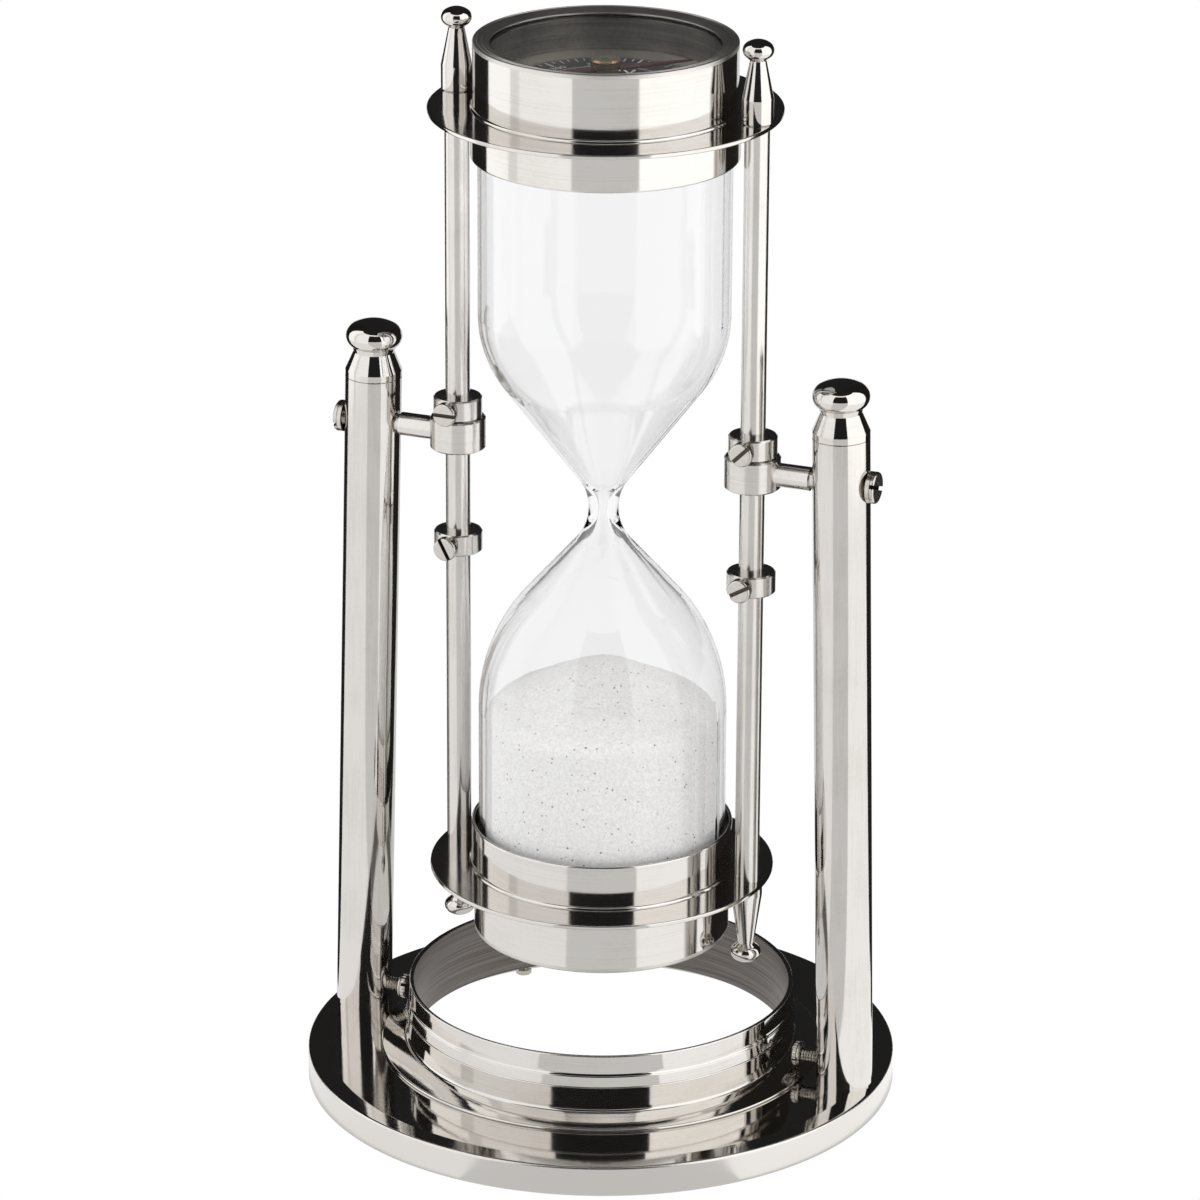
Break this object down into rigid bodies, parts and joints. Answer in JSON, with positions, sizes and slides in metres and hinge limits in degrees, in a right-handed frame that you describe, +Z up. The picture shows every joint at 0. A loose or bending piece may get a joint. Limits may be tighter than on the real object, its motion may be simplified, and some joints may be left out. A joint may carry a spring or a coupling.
{
  "type": "hourglass",
  "caption": "Hourglass hung in a rod cage with a compass in each end cap; the cage swings end over end between leaning posts on a round base with a collar ring.",
  "frame": {"origin": "centre of the base's underside, on the surface it stands on", "axes": "+Z up, the two posts stand on the X axis, the front with the stop screws' heads faces -Y"},
  "size_m": [0.165, 0.165, 0.3048],
  "materials": {
    "nickel": "polished nickel plate, fine turning lines",
    "screw_steel": "plated screw, machined",
    "plug": "plain turned, hidden inside the post",
    "felt": "pressed felt",
    "stopper_rubber": "matt",
    "glass": "clear blown glass",
    "sand": "loose white sand with dark grains",
    "dial_black": "satin black with printed scale",
    "dial_ring": "satin",
    "brass": "turned",
    "needle_red": "dark red lacquer"
  },
  "bodies": {
    "stand": {"base_plate": "nickel", "base_collar": "nickel", "collar_screws": "screw_steel", "post_foot_screws": "screw_steel", "post_left": "nickel", "post_right": "nickel", "post_plug_left": "plug", "post_plug_right": "plug", "post_set_screw_left": "screw_steel", "post_set_screw_right": "screw_steel", "post_cap_left": "nickel", "post_cap_right": "nickel"},
    "pivots": {"trunnion_left": "nickel", "trunnion_right": "nickel", "pivot_screw_left": "screw_steel", "pivot_screw_right": "screw_steel"},
    "cage": {"rod_left": "nickel", "rod_right": "nickel", "stop_collar_upper_left": "nickel", "stop_collar_upper_right": "nickel", "stop_collar_lower_left": "nickel", "stop_collar_lower_right": "nickel", "stop_screw_upper_left": "screw_steel", "stop_screw_upper_right": "screw_steel", "stop_screw_lower_left": "screw_steel", "stop_screw_lower_right": "screw_steel", "finial_upper_left": "nickel", "finial_upper_right": "nickel", "finial_lower_left": "nickel", "finial_lower_right": "nickel", "flange_top": "nickel", "flange_bottom": "nickel", "glass_cup_top": "nickel", "glass_cup_bottom": "nickel", "seat_pad_top": "felt", "seat_pad_bottom": "felt", "compass_case_top": "nickel", "compass_case_bottom": "nickel", "case_screws_top": "screw_steel", "case_screws_bottom": "screw_steel", "bezel_top": "nickel", "bezel_bottom": "nickel", "lens_top": "glass", "lens_bottom": "glass", "dial_top": "dial_black", "dial_bottom": "dial_black", "dial_ring_top": "dial_ring", "dial_ring_bottom": "dial_ring", "pivot_pin_top": "screw_steel", "pivot_pin_bottom": "screw_steel", "glass_bulb": "glass", "glass_stopper": "stopper_rubber", "sand": "sand"},
    "compass_needle_top": {"needle_hub_top": "brass", "needle_top": "needle_red"},
    "compass_needle_bottom": {"needle_hub_bottom": "brass", "needle_bottom": "needle_red"}
  },
  "joints": [
    {"name": "swing", "type": "hinge", "parent": "stand", "child": "pivots", "pos_m": [0, 0, 0.1845], "axis": [1, 0, 0], "continuous": true},
    {"name": "cage_slide", "type": "slide", "parent": "pivots", "child": "cage", "axis": [0, 0, 1], "range_m": [0, 0.024]},
    {"name": "needle_top_spin", "type": "hinge", "parent": "cage", "child": "compass_needle_top", "pos_m": [0, 0, 0.2931], "axis": [0, 0, 1], "continuous": true},
    {"name": "needle_bottom_spin", "type": "hinge", "parent": "cage", "child": "compass_needle_bottom", "pos_m": [0, 0, 0.0519], "axis": [0, 0, 1], "continuous": true}
  ]
}
